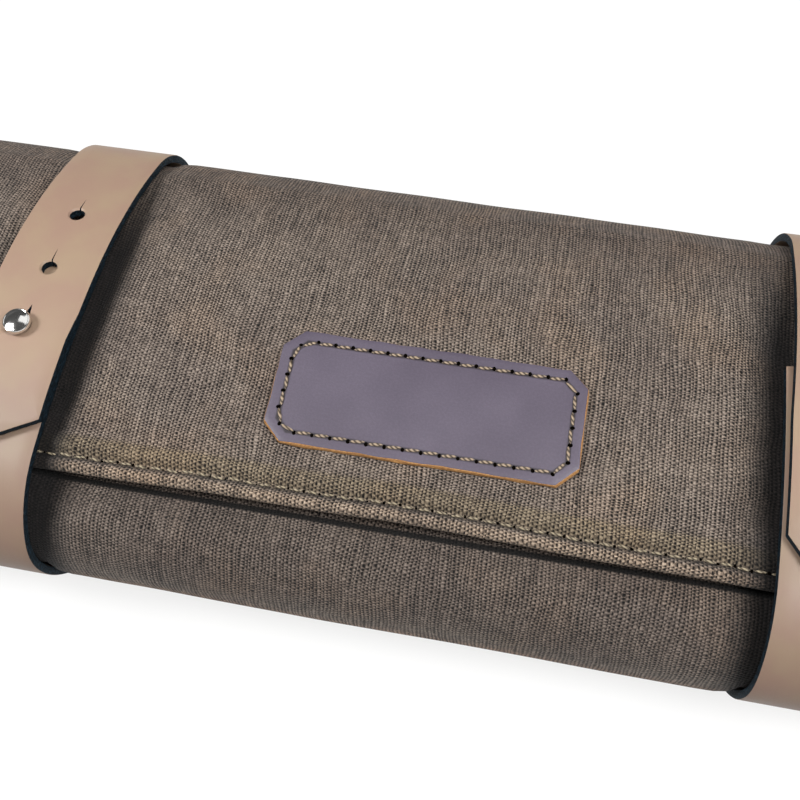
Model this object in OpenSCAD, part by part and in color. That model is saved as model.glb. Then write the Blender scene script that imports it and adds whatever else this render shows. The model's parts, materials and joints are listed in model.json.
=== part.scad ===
// Watch roll: a padded canvas roll with a fold-over flap and two leather straps.
// X runs along the roll, +Y is the back where the flap is hinged, +Z is up,
// and the roll stands at z = 0 on the undersides of its two straps.

/* [Roll] */
// Length of the roll
roll_l = 280; // [260:1:300]
// Depth of the closed roll, front to back, over the canvas
roll_w = 102; // [98:0.5:108]
// Height of the closed roll over the canvas
roll_h = 47.4; // [46:0.2:50]
// Outside radius of the flap's two shoulders
shoulder_r = 20; // [19:0.2:21]
// Outside radius of the two lower edges
heel_r = 22.6; // [21:0.2:22.8]
// Outside radius of the front wall's shoulder, which lies under the flap
lip_r = 15; // [14:0.1:15.4]
// Flap's front edge, measured along the canvas from the middle of the top
hem_s = 39.6; // [38:0.2:42]

/* [Cloth] */
// Thickness of the canvas
canvas_t = 1.2; // [0.8:0.1:1.4]
// Thickness of the padding between canvas and lining
foam_t = 2.6; // [2:0.1:2.8]
// Thickness of the lining
lining_t = 0.8; // [0.5:0.1:1]
// Width of the turned hems
hem_w = 9; // [7:0.5:11]
// Distance of the hem's stitching from the flap's edge
hem_stitch_inset = 3.3; // [2.5:0.1:4.5]
// Distance from one stitch to the next
stitch_pitch = 3.5; // [3:0.1:5]
// Length of one stitch
stitch_l = 2.6; // [1.6:0.1:2.8]
// Width of the thread
thread_w = 0.6; // [0.4:0.05:0.8]

/* [Straps] */
// Width of the leather straps
strap_w = 20; // [16:0.5:24]
// Thickness of the leather straps
strap_t = 1.8; // [1.4:0.1:2.2]
// Distance between the two straps, middle to middle
strap_pitch = 158; // [140:1:180]
// Distance between a stud and the next hole
hole_pitch = 15.5; // [13:0.5:17]
// Number of holes in each tongue
hole_count = 3; // [1:1:3]
// Diameter of the holes in the tongues
hole_d = 3.2; // [3:0.1:4]
// Length of the slit behind each hole, from the hole's middle
slit_l = 6; // [4:0.5:7]
// Stud, measured along the canvas from the middle of the top to the front
stud_s = 12.2; // [8:0.2:16]
// How far the stud end runs back past its stud
stud_end_l = 17.4; // [8:0.2:22]
// Tongue's tip, measured along the canvas from the middle of the top
tip_s = 37.2; // [32:0.2:38]
// Tip's distance from the strap's left edge
tip_x = 6.8; // [4:0.2:14]
// How far the tip runs past the strap's left corner
tip_left_l = 8.2; // [4:0.2:12]
// How far the tip runs past the strap's right corner
tip_right_l = 7; // [4:0.2:12]

/* [Studs and rivets] */
// Diameter of the stud's head
head_d = 6.2; // [5:0.2:8]
// Height of the stud's head
head_h = 2.2; // [1.6:0.1:3]
// Diameter of the stud's neck
neck_d = 2.6; // [2.4:0.1:2.8]
// Diameter of the screw's flat head under the stud
screw_head_d = 6.4; // [5:0.2:8]
// Thickness of the screw's flat head
screw_head_t = 0.7; // [0.5:0.1:0.9]
// Diameter of the screw's shank
screw_d = 1.5; // [1.2:0.1:1.6]
// Diameter of the rivets' caps
rivet_cap_d = 6.6; // [5:0.2:8]
// Thickness of the rivets' caps
rivet_cap_t = 0.8; // [0.5:0.1:1.2]
// Diameter of the rivets' posts
rivet_d = 2.4; // [2:0.1:3]
// Angle of the back rivets round the lower back edge, below its upper end
back_rivet_a = 12; // [11:0.5:16]
// Angle of the flap's rivets above the flap's hinge line
flap_rivet_a = 20; // [14:1:30]

/* [Label] */
// Length of the leather patch
patch_l = 60; // [40:1:80]
// Width of the leather patch
patch_w = 24; // [16:0.5:28]
// Thickness of the leather patch
patch_t = 1.2; // [0.8:0.1:1.6]
// Size of the patch's cut corners
patch_corner = 3.8; // [2:0.2:6]
// Distance of the patch's stitching from its edge
patch_stitch_inset = 2.5; // [2:0.1:4]
// Patch's middle, along the roll
patch_x = 3; // [-20:1:20]
// Patch's middle, measured along the canvas from the middle of the top
patch_s = 14.6; // [13:0.2:18]

/* [Inside] */
// Thickness of the dividers between the pillows
divider_t = 3; // [2:0.5:5]
// Depth of a pillow, front to back
pillow_w = 78; // [60:1:84]
// Height of a pillow
pillow_h = 24; // [18:1:26]
// Space between a pillow and the divider beside it
pillow_gap = 3; // [1:0.5:6]

/* [Movement] */
// Angle up the back shoulder at which the tongues fold
tongue_fold_a = 62; // [40:1:66]
// Angle left open along a fold
fold_gap_a = 0.9; // [0.8:0.1:1.5]

/* [Hidden] */
// Clearance between pieces that move against each other
run_gap = 0.3;
// Clearance between layers sewn together
ply_gap = 0.12;
// Clearance round a pin in its own hole
pin_gap = 0.1;
// Height of the stitches over the face that they lie on
thread_h = 0.2;
// Smallest width of a slit in leather
slit_w = 0.6;
// Rise of a rivet's cap towards its middle
cap_crown = 0.3;
// Number of watch pillows
pillow_count = 4;
// Overlap of neighbouring stretches of one wall, in degrees
seam_a = 0.01;
deg = 180 / PI;

half_l = roll_l / 2;
half_w = roll_w / 2;
half_h = roll_h / 2;
wall_t = canvas_t + foam_t + lining_t + 2 * ply_gap;
hem_t = 2 * canvas_t + ply_gap;

// Section of the closed roll: four arcs and three flats, convex all round.
strap_out = run_gap + strap_t;
mid_z = strap_out + half_h;
shoulder_y = half_w - shoulder_r;
crown_a = fine(crown_angle(half_h, shoulder_y, shoulder_r), 0.01);
crown_r = fine(shoulder_r + shoulder_y / sin(crown_a), 0.001);
crown_z = fine(mid_z - shoulder_y / tan(crown_a), 0.001);
crown_s = crown_r * crown_a / deg;
heel_y = half_w - heel_r;
heel_z = mid_z - half_h + heel_r;
lip_y = half_w - lip_r;
lip_z = mid_z + lip_r;
lip_end_y = lip_y - hem_w;

// An arc is [middle y, middle z, radius, first and last angle of its normal].
top_arcs = [
    [shoulder_y, mid_z, shoulder_r, 0, 90 - crown_a],
    [0, crown_z, crown_r, 90 - crown_a, 90 + crown_a],
    [-shoulder_y, mid_z, shoulder_r, 90 + crown_a, 180]
];
heel_arcs = [
    [-heel_y, heel_z, heel_r, 180, 270],
    [heel_y, heel_z, heel_r, 270, 360]
];
body_arcs = concat([[-lip_y, mid_z, lip_r, 90, 180]], heel_arcs);

// A flat is [its two ends in y and z, angle of its normal].
roll_flats = [
    [[-half_w, mid_z], [-half_w, heel_z], 180],
    [[-heel_y, heel_z - heel_r], [heel_y, heel_z - heel_r], 270],
    [[half_w, heel_z], [half_w, mid_z], 360]
];
lip_flat = [[-lip_end_y, lip_z], [-lip_y, lip_z], 90];

// The tongue leaves the back shoulder early and bridges up over the stud end.
tongue_in = strap_out + run_gap;
tongue_out = tongue_in + strap_t;
rise_in_r = shoulder_r + run_gap;
rise_a = fine(crown_angle(half_h + tongue_in, shoulder_y, rise_in_r), 0.01);
rise_r = fine(rise_in_r + shoulder_y / sin(rise_a), 0.001);
rise_z = fine(mid_z - shoulder_y / tan(rise_a), 0.001);
tongue_arcs = [
    [shoulder_y, mid_z, rise_in_r, 0, 90 - rise_a],
    [0, rise_z, rise_r, 90 - rise_a, 90],
    [0, crown_z, crown_r + tongue_in, 90, 90 + crown_a],
    [-shoulder_y, mid_z, shoulder_r + tongue_in, 90 + crown_a, 180]
];

hem_a = top_a(hem_s);
pad_a = top_a(hem_s - hem_w);
end_t = canvas_t + foam_t + lining_t + 2 * ply_gap;
bay_l = (roll_l - 2 * end_t - 2 * ply_gap - (pillow_count - 1) * divider_t) / pillow_count;
floor_z = mid_z - half_h + wall_t;
patch_y = crown_r * sin(patch_s / crown_r * deg);
head_base = tongue_out + run_gap;

canvas_colour = "#6e6459";
lining_colour = "#8a7d6b";
foam_colour = "#3d3d40";
leather_colour = "#b59c86";
patch_colour = "#5d5260";
thread_colour = "#7d6b48";
metal_colour = "#c9c9c6";
pillow_colour = "#94866f";

LEFT = -1;
RIGHT = 1;

function fine(v, step) = round(v / step) * step;

// Half the angle of the top arc that meets two shoulder arcs smoothly and reaches a height.
function crown_angle(height, side, r) =
    let(top_r = (pow(height, 2) + pow(side, 2) - pow(r, 2)) / (2 * (height - r)))
    asin(side / (top_r - r));

// Angle of the normal at a distance along the canvas from the middle of the top, to the front.
function top_a(s) = s < crown_s ? 90 + s / crown_r * deg : 90 + crown_a + (s - crown_s) / shoulder_r * deg;

// Y of a place on the crown at a distance along the canvas from the middle of the top.
function top_y(s) = s < crown_s
    ? -crown_r * sin(s / crown_r * deg)
    : -shoulder_y - shoulder_r * cos(180 - top_a(s));

function polar(arc, d, a) = [arc[0] + (arc[2] + d) * cos(a), arc[1] + (arc[2] + d) * sin(a)];

function arc_points(arc, d, from, to, steps = 14) =
    [for (i = [0:steps]) polar(arc, d, from + (to - from) * i / steps)];

function strap_x(side) = side * strap_pitch / 2;

function bay_x(i) = (i - (pillow_count + 1) / 2) * (bay_l + divider_t);

// Solid of a section drawn in y and z, from x0 to x1.
module along_x(x0, x1) {
    translate([x0, 0, 0]) rotate([90, 0, 90]) linear_extrude(height = x1 - x0) children();
}

// Part of a ring round an axis along X, between two radii and two angles.
module sector(y, z, r0, r1, a0, a1, x0, x1) {
    translate([x0, y, z]) rotate([90, 0, 90])
        rotate_extrude(angle = a1 - a0, start = a0, $fn = 120)
            translate([r0, 0]) square([r1 - r0, x1 - x0]);
}

// Wall that follows arcs and flats, between two offsets and two angles of its normal.
module wall(arcs, flats, d0, d1, x0, x1, from, to) {
    for (s = arcs) {
        a0 = fine(max(from, s[3]), 0.01);
        a1 = fine(min(to, s[4]), 0.01);
        past = to > s[4] && s[4] < 180 && s[4] != 90 ? seam_a : 0;
        if (a1 > a0) sector(s[0], s[1], s[2] + d0, s[2] + d1, a0, a1 + past, x0, x1);
    }
    for (f = flats) if (f[2] >= from && f[2] <= to) {
        n = [cos(f[2]), sin(f[2])];
        along_x(x0, x1) polygon([f[0] + d0 * n, f[1] + d0 * n, f[1] + d1 * n, f[0] + d1 * n]);
    }
}

// Puts its child on an arc, with the child's Z along the normal.
module on_arc(x, arc, d, a) {
    translate([x, arc[0], arc[1]]) rotate([a - 90, 0, 0]) translate([0, 0, arc[2] + d]) children();
}

module on_crown(x, s, d) {
    if (s < crown_s) on_arc(x, top_arcs[1], d, top_a(s)) children();
    else on_arc(x, top_arcs[2], d, top_a(s)) children();
}

// Section of the space inside the walls, at a depth below the body's and the flap's outer faces.
module inside_section(body_d, flap_d) {
    lip_in_z = lip_z - hem_t - ply_gap;
    crown_end_a = 90 + asin((lip_end_y - run_gap) / (crown_r - flap_d));
    polygon(concat(
        arc_points(heel_arcs[1], -body_d, 270, 360),
        [[half_w - body_d, mid_z]],
        arc_points(top_arcs[0], -flap_d, 0, 90 - crown_a),
        arc_points(top_arcs[1], -flap_d, 90 - crown_a, crown_end_a),
        [[-lip_end_y + run_gap, lip_in_z], [-lip_y, lip_in_z]],
        arc_points(body_arcs[0], -body_d, 90, 180),
        arc_points(heel_arcs[0], -body_d, 180, 270)
    ));
}

module end_piece(side, out, thick, body_d) {
    x1 = half_l - out;
    x0 = x1 - thick;
    mirror([side < 0 ? 1 : 0, 0, 0])
        along_x(x0, x1) inside_section(body_d, wall_t + run_gap);
}

// Post through the back wall or the flap, with a low cap at each end of it.
module rivet(x, arc_y, z, a, out, grip) {
    translate([x, arc_y, z]) rotate([a - 90, 0, 0]) translate([0, 0, out]) {
        translate([0, 0, -grip]) cylinder(d = rivet_d, h = grip, $fn = 48);
        rivet_cap();
        translate([0, 0, -grip]) mirror([0, 0, 1]) rivet_cap();
    }
}

module rivet_cap() {
    rim = rivet_cap_t - cap_crown;
    cylinder(d = rivet_cap_d, h = rim, $fn = 48);
    translate([0, 0, rim]) cylinder(d1 = rivet_cap_d, d2 = rivet_cap_d - 4 * cap_crown, h = cap_crown, $fn = 48);
}

// Radius at which an inner cap meets the inside of a wall that is curved to an outside radius.
function rivet_seat_r(r) = sqrt(pow(r - wall_t, 2) - pow(rivet_cap_d / 2, 2)) - ply_gap;

module rivet_hole(x, arc_y, z, a, out, grip) {
    translate([x, arc_y, z]) rotate([a - 90, 0, 0]) translate([0, 0, out - grip - 1])
        cylinder(d = rivet_d + 2 * pin_gap, h = grip + 2, $fn = 48);
}

// Holes of the two rivets that hold a strap to the body, and to the flap.
module back_rivet_holes() {
    for (side = [LEFT, RIGHT])
        rivet_hole(strap_x(side), heel_y, heel_z, -back_rivet_a, heel_r + strap_out, strap_out + wall_t);
}

module flap_rivet_holes() {
    for (side = [LEFT, RIGHT])
        rivet_hole(strap_x(side), shoulder_y, mid_z, flap_rivet_a, shoulder_r + strap_out, strap_out + wall_t);
}

module canvas_body() {
    color(canvas_colour) difference() {
        wall(body_arcs, concat(roll_flats, [lip_flat]), -canvas_t, 0, -half_l, half_l, 90, 360);
        back_rivet_holes();
    }
}

module padding_body() {
    d = -canvas_t - ply_gap;
    x = half_l - end_t - ply_gap;
    color(foam_colour) difference() {
        wall(body_arcs, roll_flats, d - foam_t, d, -x, x, 90 + fold_gap_a, 360);
        back_rivet_holes();
    }
}

module lining_body() {
    d = -canvas_t - foam_t - 2 * ply_gap;
    x = half_l - end_t - ply_gap;
    color(lining_colour) difference() {
        wall(body_arcs, roll_flats, d - lining_t, d, -x, x, 90 + fold_gap_a, 360);
        back_rivet_holes();
    }
}

// Canvas turned under along the front wall's free edge.
module front_hem() {
    z1 = lip_z - canvas_t - ply_gap;
    color(canvas_colour)
        translate([-half_l, -lip_y + run_gap, z1 - canvas_t])
            cube([roll_l, hem_w - run_gap, canvas_t]);
}

module end_panel(side) {
    color(canvas_colour) end_piece(side, 0, canvas_t, canvas_t + ply_gap);
}

module end_padding(side) {
    color(foam_colour) end_piece(side, canvas_t + ply_gap, foam_t, canvas_t + ply_gap);
}

module end_lining(side) {
    color(lining_colour) end_piece(side, canvas_t + foam_t + 2 * ply_gap, lining_t, canvas_t + ply_gap);
}

// Upright board between two pillows that fits the heels and the inside of the front shoulder.
module divider(i) {
    x = (bay_x(i) + bay_x(i + 1)) / 2;
    d = wall_t + ply_gap;
    color(lining_colour)
        along_x(x - divider_t / 2, x + divider_t / 2)
            polygon(concat(
                arc_points(heel_arcs[1], -d, 270, 360),
                arc_points([lip_y, mid_z, lip_r], -d, 0, 90),
                arc_points(body_arcs[0], -d, 90, 180),
                arc_points(heel_arcs[0], -d, 180, 270)
            ));
}

// Flat-topped pillow with half-round front and back, which a closed watch strap goes round.
module watch_pillow(i) {
    r = pillow_h / 2;
    y = pillow_w / 2 - r;
    z = floor_z + ply_gap + r;
    x0 = bay_x(i) - bay_l / 2 + pillow_gap;
    x1 = bay_x(i) + bay_l / 2 - pillow_gap;
    color(pillow_colour) {
        sector(y, z, 0, r, -90, 90, x0, x1);
        sector(-y, z, 0, r, 90, 270, x0, x1);
        translate([x0, -y, z - r]) cube([x1 - x0, 2 * y, pillow_h]);
    }
}

module strap_band(side) {
    x = strap_x(side);
    color(leather_colour) difference() {
        wall(heel_arcs, roll_flats, run_gap, strap_out, x - strap_w / 2, x + strap_w / 2, 180, 360);
        back_rivet_holes();
    }
}

module back_rivet(side) {
    out = heel_r + strap_out;
    color(metal_colour)
        rivet(strap_x(side), heel_y, heel_z, -back_rivet_a, out, out - rivet_seat_r(heel_r));
}

module flap_wall(d0, d1, x, to) {
    difference() {
        wall(top_arcs, [], d0, d1, -x, x, fold_gap_a, to);
        flap_rivet_holes();
    }
}

// Canvas of the flap, with its two side edges turned in over the padding.
module flap_canvas() {
    color(canvas_colour) {
        flap_wall(-canvas_t, 0, half_l, hem_a);
        for (x0 = [-half_l, half_l - canvas_t]) {
            wall(top_arcs, [], -wall_t, 0, x0, x0 + canvas_t, fold_gap_a, pad_a);
            wall(top_arcs, [], -hem_t, 0, x0, x0 + canvas_t, pad_a, hem_a);
        }
    }
}

module flap_padding() {
    d = -canvas_t - ply_gap;
    color(foam_colour) flap_wall(d - foam_t, d, half_l - canvas_t - ply_gap, pad_a);
}

module flap_lining() {
    d = -canvas_t - foam_t - 2 * ply_gap;
    color(lining_colour) flap_wall(d - lining_t, d, half_l - canvas_t - ply_gap, pad_a);
}

// Canvas turned under along the flap's front edge.
module flap_hem() {
    d = -canvas_t - ply_gap;
    x = half_l - canvas_t - ply_gap;
    color(canvas_colour) wall(top_arcs, [], d - canvas_t, d, -x, x, pad_a + ply_gap, hem_a);
}

module stitch(angle = 0) {
    rotate([0, 0, angle]) translate([-stitch_l / 2, -thread_w / 2, 0]) cube([stitch_l, thread_w, thread_h]);
}

module hem_stitching() {
    n = floor((roll_l - 2 * stitch_pitch) / stitch_pitch);
    color(thread_colour)
        for (i = [0:n]) on_crown((i - n / 2) * stitch_pitch, hem_s - hem_stitch_inset, 0) stitch();
}

// Outline of the patch in plan, with its corners cut off.
module patch_outline() {
    c = patch_corner;
    x = patch_l / 2;
    y = patch_w / 2;
    polygon([
        [x, y - c], [x - c, y], [c - x, y], [-x, y - c],
        [-x, c - y], [c - x, -y], [x - c, -y], [x, c - y]
    ]);
}

module label_patch() {
    reach = patch_w / 2 / crown_r * deg + 1;
    a = top_a(patch_s);
    x = patch_l / 2 + 1;
    color(patch_colour) intersection() {
        sector(0, crown_z, crown_r + ply_gap, crown_r + ply_gap + patch_t, a - reach, a + reach,
               patch_x - x, patch_x + x);
        translate([patch_x, -patch_y, 0]) linear_extrude(height = 2 * roll_h) patch_outline();
    }
}

module label_stitching() {
    d = ply_gap + patch_t;
    half_run = patch_l / 2 - patch_stitch_inset;
    half_rise = patch_w / 2 - patch_stitch_inset;
    n = floor((2 * half_run - 2 * patch_corner) / stitch_pitch);
    m = floor((2 * half_rise - 2 * patch_corner) / stitch_pitch);
    color(thread_colour) {
        for (e = [-1, 1]) {
            for (i = [0:n])
                on_crown(patch_x + (i - n / 2) * stitch_pitch, patch_s + e * half_rise, d) stitch();
            for (i = [0:m])
                on_crown(patch_x + e * half_run, patch_s + (i - m / 2) * stitch_pitch, d) stitch(90);
        }
    }
}

// Stretch of a strap that is riveted to the flap, from the flap's hinge to the tongue's fold.
module strap_back(side) {
    x = strap_x(side);
    color(leather_colour) difference() {
        wall(top_arcs, [], run_gap, strap_out, x - strap_w / 2, x + strap_w / 2,
             fold_gap_a, tongue_fold_a - fold_gap_a);
        flap_rivet_holes();
    }
}

module flap_rivet(side) {
    out = shoulder_r + strap_out;
    color(metal_colour)
        rivet(strap_x(side), shoulder_y, mid_z, flap_rivet_a, out, out - rivet_seat_r(shoulder_r));
}

// Plan of a tongue: full width, then a point that lies off its middle.
module tongue_plan(x) {
    x0 = x - strap_w / 2;
    x1 = x + strap_w / 2;
    polygon([
        [x0, half_w], [x0, top_y(tip_s - tip_left_l)], [x0 + tip_x, top_y(tip_s)],
        [x1, top_y(tip_s - tip_right_l)], [x1, half_w]
    ]);
}

// Round hole for the stud with a slit behind it, cut square to the leather.
module keyhole(x, s) {
    arc = s > 0 ? tongue_arcs[2] : tongue_arcs[1];
    on_arc(x, arc, -1, 90 + s / arc[2] * deg) {
        cylinder(d = hole_d, h = strap_t + 2, $fn = 48);
        translate([-slit_w / 2, 0, 0]) cube([slit_w, slit_l, strap_t + 2]);
    }
}

module tongue(side) {
    x = strap_x(side);
    color(leather_colour) difference() {
        intersection() {
            wall(tongue_arcs, [], 0, strap_t, x - strap_w / 2, x + strap_w / 2,
                 tongue_fold_a, top_a(tip_s) + 2);
            linear_extrude(height = 2 * roll_h) tongue_plan(x);
        }
        for (i = [0:hole_count - 1]) keyhole(x, stud_s - i * hole_pitch);
    }
}

// Front stretch of a strap, from its fold over the flap to the end that lies under the tongue.
module stud_end(side) {
    x = strap_x(side);
    color(leather_colour) difference() {
        wall(top_arcs, [], run_gap, strap_out, x - strap_w / 2, x + strap_w / 2,
             top_a(stud_s - stud_end_l), 180 - fold_gap_a);
        on_crown(x, stud_s, 0) {
            cylinder(d = neck_d + 2 * pin_gap, h = strap_out + 1, $fn = 48);
            cylinder(d = screw_head_d + 2 * pin_gap, h = run_gap + screw_head_t + pin_gap, $fn = 48);
        }
    }
}

// Turned stud: neck, waist and low domed head, bored for its screw.
module stud(side) {
    neck_h = head_base - run_gap - screw_head_t - 2 * pin_gap;
    r = head_d / 2;
    dome_r = (pow(r, 2) + pow(head_h / 2, 2)) / head_h;
    dome_a = asin(r / dome_r);
    color(metal_colour)
        on_crown(strap_x(side), stud_s, head_base) difference() {
            union() {
                translate([0, 0, -neck_h]) cylinder(d = neck_d, h = neck_h, $fn = 48);
                cylinder(d1 = neck_d, d2 = head_d, h = head_h / 4, $fn = 48);
                translate([0, 0, head_h / 4]) cylinder(d = head_d, h = head_h / 4, $fn = 48);
                translate([0, 0, head_h / 2]) intersection() {
                    translate([0, 0, head_h / 2 - dome_r]) sphere(r = dome_r, $fn = 64);
                    cylinder(d = head_d, h = head_h, $fn = 48);
                }
            }
            translate([0, 0, -neck_h - 1]) cylinder(d = screw_d + 2 * pin_gap, h = neck_h + 1, $fn = 48);
        }
}

// Flat-headed screw that comes up through the stud end into the stud.
module stud_screw(side) {
    shank = head_base - run_gap - screw_head_t - pin_gap - 0.5;
    color(metal_colour) on_crown(strap_x(side), stud_s, run_gap) {
        cylinder(d = screw_head_d, h = screw_head_t, $fn = 48);
        translate([0, 0, screw_head_t]) cylinder(d = screw_d, h = shank, $fn = 48);
    }
}

canvas_body();
padding_body();
lining_body();
front_hem();
end_panel(LEFT);  // end_left
end_panel(RIGHT);  // end_right
end_padding(LEFT);  // end_padding_left
end_padding(RIGHT);  // end_padding_right
end_lining(LEFT);  // end_lining_left
end_lining(RIGHT);  // end_lining_right
for (i = [1:pillow_count - 1]) divider(i);
for (i = [1:pillow_count]) watch_pillow(i);
strap_band(LEFT);  // strap_band_left
strap_band(RIGHT);  // strap_band_right
back_rivet(LEFT);  // rivet_left
back_rivet(RIGHT);  // rivet_right
flap_canvas();
flap_padding();
flap_lining();
flap_hem();
hem_stitching();
label_patch();
label_stitching();
strap_back(LEFT);  // strap_back_left
strap_back(RIGHT);  // strap_back_right
flap_rivet(LEFT);  // flap_rivet_left
flap_rivet(RIGHT);  // flap_rivet_right
tongue(LEFT);  // tongue_left
tongue(RIGHT);  // tongue_right
stud_end(LEFT);  // stud_end_left
stud_end(RIGHT);  // stud_end_right
stud(LEFT);  // stud_left
stud(RIGHT);  // stud_right
stud_screw(LEFT);  // stud_screw_left
stud_screw(RIGHT);  // stud_screw_right
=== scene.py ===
import json
import math
import random

import bmesh
import bpy
import numpy as np
from mathutils import Matrix, Vector, noise

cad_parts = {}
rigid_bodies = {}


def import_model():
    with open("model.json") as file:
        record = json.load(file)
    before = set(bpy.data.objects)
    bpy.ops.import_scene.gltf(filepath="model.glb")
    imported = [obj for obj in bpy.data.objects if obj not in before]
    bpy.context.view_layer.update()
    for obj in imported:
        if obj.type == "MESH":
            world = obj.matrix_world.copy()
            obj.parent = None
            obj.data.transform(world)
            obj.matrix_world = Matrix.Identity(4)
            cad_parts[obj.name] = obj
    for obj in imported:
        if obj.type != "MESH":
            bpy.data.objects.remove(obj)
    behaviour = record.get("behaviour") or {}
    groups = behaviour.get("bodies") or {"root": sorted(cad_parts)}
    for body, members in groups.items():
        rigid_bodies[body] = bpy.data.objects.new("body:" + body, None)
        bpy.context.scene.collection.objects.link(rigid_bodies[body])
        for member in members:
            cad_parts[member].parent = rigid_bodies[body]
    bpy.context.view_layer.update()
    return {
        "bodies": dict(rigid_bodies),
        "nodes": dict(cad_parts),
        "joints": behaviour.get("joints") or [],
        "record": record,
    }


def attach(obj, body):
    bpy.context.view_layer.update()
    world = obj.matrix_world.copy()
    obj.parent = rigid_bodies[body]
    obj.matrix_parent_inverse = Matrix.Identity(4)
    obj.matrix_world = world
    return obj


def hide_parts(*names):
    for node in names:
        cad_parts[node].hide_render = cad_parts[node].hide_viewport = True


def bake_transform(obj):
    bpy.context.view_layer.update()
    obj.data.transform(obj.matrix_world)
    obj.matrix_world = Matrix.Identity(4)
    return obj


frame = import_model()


# Flap, back wall and back half of the floor: one cut of waxed cotton canvas over thin foam.
# Its sides are turned in over the foam, and its front edge is turned under and sewn down.
# It bends along the back, where the flap opens.
mm = 0.001
half_l = 140
half_w, half_h, mid_z = 51, 23.7, 25.8
shoulder_r, heel_r, lip_r = 20, 22.6, 15
canvas_t, hem_t, quilt_t, wall_t = 1.2, 2.52, 3.9, 4.84
end_x = 134.9
hem_s, hem_w, stitch_inset = 39.6, 9, 3.3
strap_x, strap_half = 79, 10
patch_x, patch_s = 3, 14.6
patch_half_l, patch_half_w = 30, 12
stud_s = 12.2
rivet_a, flap_rivet_a = -12, 20


def crown(height, r):
    """Half angle, radius and middle height of the arc that tops two shoulder arcs of radius r."""
    side = half_w - shoulder_r
    top_r = (height ** 2 + side ** 2 - r ** 2) / (2 * (height - r))
    a = math.asin(side / (top_r - r))
    return math.degrees(a), top_r, mid_z - side / math.tan(a)


class Line:
    """Line round the roll's section: arcs of (y, z, radius, from, to), with flats between them.
    A place on it is found by its distance from where the outward angle is zero_a."""

    def __init__(self, arcs, zero_a=None):
        self.rows = np.array([
            (y + r * math.cos(math.radians(a)), z + r * math.sin(math.radians(a)), a)
            for y, z, r, a0, a1 in arcs for a in np.linspace(a0, a1, 80)])
        gaps = np.diff(self.rows[:, :2], axis=0, prepend=self.rows[:1, :2])
        self.run = np.cumsum(np.hypot(gaps[:, 0], gaps[:, 1]))
        if zero_a is not None:
            self.run -= np.interp(zero_a, self.rows[:, 2], self.run)

    def at(self, s, d=0.0):
        """Y and Z at a distance along the line and a height over it, and the outward angle."""
        y, z, a = (float(np.interp(s, self.run, self.rows[:, i])) for i in range(3))
        t = math.radians(a)
        return y + d * math.cos(t), z + d * math.sin(t), t

    def stand(self, x, s, d):
        """Matrix, in metres, that stands a small thing on the line: its Z outwards, its X along the roll."""
        y, z, t = self.at(s, d)
        return Matrix.Translation((x * mm, y * mm, z * mm)) @ Matrix.Rotation(t - math.pi / 2, 4, "X")


crown_a, crown_r, crown_z = crown(half_h, shoulder_r)
heel_y, heel_z = half_w - heel_r, mid_z - half_h + heel_r
shoulder_y = half_w - shoulder_r
girth = Line([
    (0, heel_z, heel_r, -90, -90), (heel_y, heel_z, heel_r, -90, 0),
    (shoulder_y, mid_z, shoulder_r, 0, 90 - crown_a), (0, crown_z, crown_r, 90 - crown_a, 90 + crown_a),
    (-shoulder_y, mid_z, shoulder_r, 90 + crown_a, 180), (-heel_y, heel_z, heel_r, 180, 270),
    (0, heel_z, heel_r, 270, 270)], 90)
under_s = girth.run[-1]


def places(first, *runs):
    """Places from the first on, in runs of (end, step)."""
    found = [first]
    for end, step in runs:
        n = max(1, round(abs(end - found[-1]) / step))
        found += list(np.linspace(found[-1], end, n + 1)[1:])
    return found


def ease(x, a, b):
    t = min(1, max(0, (x - a) / (b - a)))
    return t * t * (3 - 2 * t)


def bell(x, middle, half):
    return (1 + math.cos(math.pi * min(1, abs(x - middle) / half))) / 2


def flat_cut(xs, ys):
    """Flat cut of cloth as a grid of faces, with its columns at xs and its rows at ys, in mm."""
    bm = bmesh.new()
    bmesh.ops.create_grid(bm, x_segments=len(xs) - 1, y_segments=len(ys) - 1, size=0.5)
    for v in bm.verts:
        v.co.x = np.interp(v.co.x + 0.5, np.linspace(0, 1, len(xs)), xs)
        v.co.y = np.interp(v.co.y + 0.5, np.linspace(0, 1, len(ys)), ys)
    return bm


def one_face(corners):
    """Bmesh of a single face with these corners."""
    bm = bmesh.new()
    bmesh.ops.create_circle(bm, cap_ends=True, radius=1, segments=len(corners))
    for v, corner in zip(bm.verts, corners):
        v.co = corner
    return bm


def extruded(bm):
    """Extrudes all the faces and returns the new vertices, still in the old place."""
    made = bmesh.ops.extrude_face_region(bm, geom=bm.faces[:], use_keep_orig=True)["geom"]
    return [v for v in made if isinstance(v, bmesh.types.BMVert)]


def round_edges(bm, edges, r, segments):
    bmesh.ops.bevel(bm, geom=edges, offset=r, offset_type="OFFSET", segments=segments, profile=0.5,
                    affect="EDGES", clamp_overlap=True, material=-1)


def give_depth(bm, depth, rim):
    """Backs a flat cut at a depth that may change over it, and rounds its edges."""
    for v in extruded(bm):
        v.co.z = -depth(v.co.x, v.co.y)
    bmesh.ops.recalc_face_normals(bm, faces=bm.faces[:])
    round_edges(bm, [e for e in bm.edges if e.calc_face_angle(0) > 0.9], rim, 3)


def mark_cut(bm, place=lambda c: (c.x - c.z, c.y - c.z)):
    """Keeps each face's place on the flat cut as a UV map, in metres, for the weave to follow."""
    uv = bm.loops.layers.uv.new("cut")
    for face in bm.faces:
        for loop in face.loops:
            u, v = place(loop.vert.co)
            loop[uv].uv = (u * mm, v * mm)


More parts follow.
